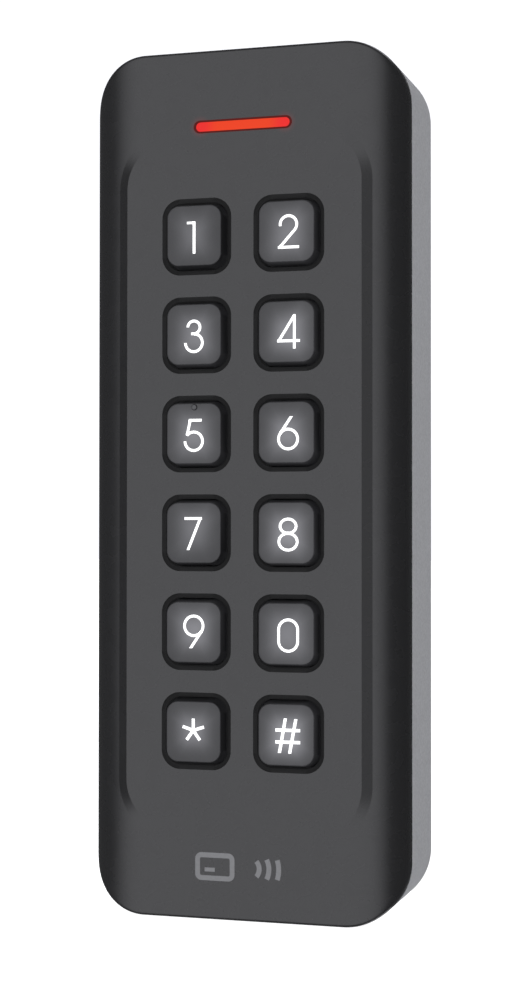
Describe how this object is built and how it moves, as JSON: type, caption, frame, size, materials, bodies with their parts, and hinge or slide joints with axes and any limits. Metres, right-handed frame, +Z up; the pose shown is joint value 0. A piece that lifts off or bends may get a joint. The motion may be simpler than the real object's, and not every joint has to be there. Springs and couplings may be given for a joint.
{
  "type": "keypad access reader",
  "caption": "Slim wall-mounted access reader: charcoal cover with rolled-back sides, raised panel of lit square keys in two columns, red status bar, silver-grey rear housing.",
  "frame": {"origin": "middle of the wall plate's back face, in the plane that lies on the wall", "axes": "+Z up along the reader's height, +X to the right as seen by the person at the keys, +Y into the wall; the keys face -Y"},
  "size_m": [0.0494, 0.0218, 0.13],
  "materials": {
    "cover_plastic": "fine-textured charcoal moulding",
    "housing_paint": "silver-grey, fine metallic grain",
    "plate_zinc": "zinc-plated sheet",
    "seal_rubber": "matte",
    "mat_silicone": "translucent silicone",
    "keycap": "charcoal keycap with a lit white legend",
    "carbon": "matte",
    "light_lens": "lit red diffuser",
    "black_plastic": "moulded",
    "led_resin": "clear resin",
    "circuit_board": "solder mask",
    "coil_copper": "enamelled copper wire",
    "chip_plastic": "moulded",
    "steel": "plain",
    "white_plastic": "moulded"
  },
  "bodies": {
    "casing": {"front_cover": "cover_plastic", "rear_housing": "housing_paint", "wall_plate": "plate_zinc", "cover_gasket": "seal_rubber", "cable_grommet": "seal_rubber", "keypad_mat": "mat_silicone", "light_bar_lens": "light_lens", "light_bar_shroud": "black_plastic", "buzzer": "black_plastic", "tamper_switch": "black_plastic", "status_led_left": "led_resin", "status_led_right": "led_resin", "key_light_1": "led_resin", "key_light_2": "led_resin", "key_light_3": "led_resin", "key_light_4": "led_resin", "key_light_5": "led_resin", "key_light_6": "led_resin", "main_board": "circuit_board", "antenna_coil": "coil_copper", "microcontroller": "chip_plastic", "card_reader_chip": "chip_plastic", "capacitor": "steel", "tamper_spring": "steel", "lock_screw": "steel", "cover_screw_top_left": "steel", "cover_screw_top_right": "steel", "cover_screw_bottom_left": "steel", "cover_screw_bottom_right": "steel", "board_screw_top_left": "steel", "board_screw_top_right": "steel", "board_screw_bottom_left": "steel", "board_screw_bottom_right": "steel", "cable_header": "white_plastic"},
    "key_1": {"key_1": "keycap", "contact_pill_1": "carbon"},
    "key_2": {"key_2": "keycap", "contact_pill_2": "carbon"},
    "key_3": {"key_3": "keycap", "contact_pill_3": "carbon"},
    "key_4": {"key_4": "keycap", "contact_pill_4": "carbon"},
    "key_5": {"key_5": "keycap", "contact_pill_5": "carbon"},
    "key_6": {"key_6": "keycap", "contact_pill_6": "carbon"},
    "key_7": {"key_7": "keycap", "contact_pill_7": "carbon"},
    "key_8": {"key_8": "keycap", "contact_pill_8": "carbon"},
    "key_9": {"key_9": "keycap", "contact_pill_9": "carbon"},
    "key_0": {"key_0": "keycap", "contact_pill_0": "carbon"},
    "key_star": {"key_star": "keycap", "contact_pill_star": "carbon"},
    "key_hash": {"key_hash": "keycap", "contact_pill_hash": "carbon"},
    "tamper_plunger": {"tamper_plunger": "white_plastic"}
  },
  "joints": [
    {"name": "key_1_press", "type": "slide", "parent": "casing", "child": "key_1", "axis": [0, 1, 0], "range_m": [0, 0.0009], "stiffness_N_per_m": 1500, "springref_m": -0.0003, "deforming": ["keypad_mat"]},
    {"name": "key_2_press", "type": "slide", "parent": "casing", "child": "key_2", "axis": [0, 1, 0], "range_m": [0, 0.0009], "stiffness_N_per_m": 1500, "springref_m": -0.0003, "deforming": ["keypad_mat"]},
    {"name": "key_3_press", "type": "slide", "parent": "casing", "child": "key_3", "axis": [0, 1, 0], "range_m": [0, 0.0009], "stiffness_N_per_m": 1500, "springref_m": -0.0003, "deforming": ["keypad_mat"]},
    {"name": "key_4_press", "type": "slide", "parent": "casing", "child": "key_4", "axis": [0, 1, 0], "range_m": [0, 0.0009], "stiffness_N_per_m": 1500, "springref_m": -0.0003, "deforming": ["keypad_mat"]},
    {"name": "key_5_press", "type": "slide", "parent": "casing", "child": "key_5", "axis": [0, 1, 0], "range_m": [0, 0.0009], "stiffness_N_per_m": 1500, "springref_m": -0.0003, "deforming": ["keypad_mat"]},
    {"name": "key_6_press", "type": "slide", "parent": "casing", "child": "key_6", "axis": [0, 1, 0], "range_m": [0, 0.0009], "stiffness_N_per_m": 1500, "springref_m": -0.0003, "deforming": ["keypad_mat"]},
    {"name": "key_7_press", "type": "slide", "parent": "casing", "child": "key_7", "axis": [0, 1, 0], "range_m": [0, 0.0009], "stiffness_N_per_m": 1500, "springref_m": -0.0003, "deforming": ["keypad_mat"]},
    {"name": "key_8_press", "type": "slide", "parent": "casing", "child": "key_8", "axis": [0, 1, 0], "range_m": [0, 0.0009], "stiffness_N_per_m": 1500, "springref_m": -0.0003, "deforming": ["keypad_mat"]},
    {"name": "key_9_press", "type": "slide", "parent": "casing", "child": "key_9", "axis": [0, 1, 0], "range_m": [0, 0.0009], "stiffness_N_per_m": 1500, "springref_m": -0.0003, "deforming": ["keypad_mat"]},
    {"name": "key_0_press", "type": "slide", "parent": "casing", "child": "key_0", "axis": [0, 1, 0], "range_m": [0, 0.0009], "stiffness_N_per_m": 1500, "springref_m": -0.0003, "deforming": ["keypad_mat"]},
    {"name": "key_star_press", "type": "slide", "parent": "casing", "child": "key_star", "axis": [0, 1, 0], "range_m": [0, 0.0009], "stiffness_N_per_m": 1500, "springref_m": -0.0003, "deforming": ["keypad_mat"]},
    {"name": "key_hash_press", "type": "slide", "parent": "casing", "child": "key_hash", "axis": [0, 1, 0], "range_m": [0, 0.0009], "stiffness_N_per_m": 1500, "springref_m": -0.0003, "deforming": ["keypad_mat"]},
    {"name": "tamper_plunger_press", "type": "slide", "parent": "casing", "child": "tamper_plunger", "axis": [0, -1, 0], "range_m": [0, 0.0012], "stiffness_N_per_m": 250, "springref_m": -0.0012, "deforming": ["tamper_spring"]}
  ]
}
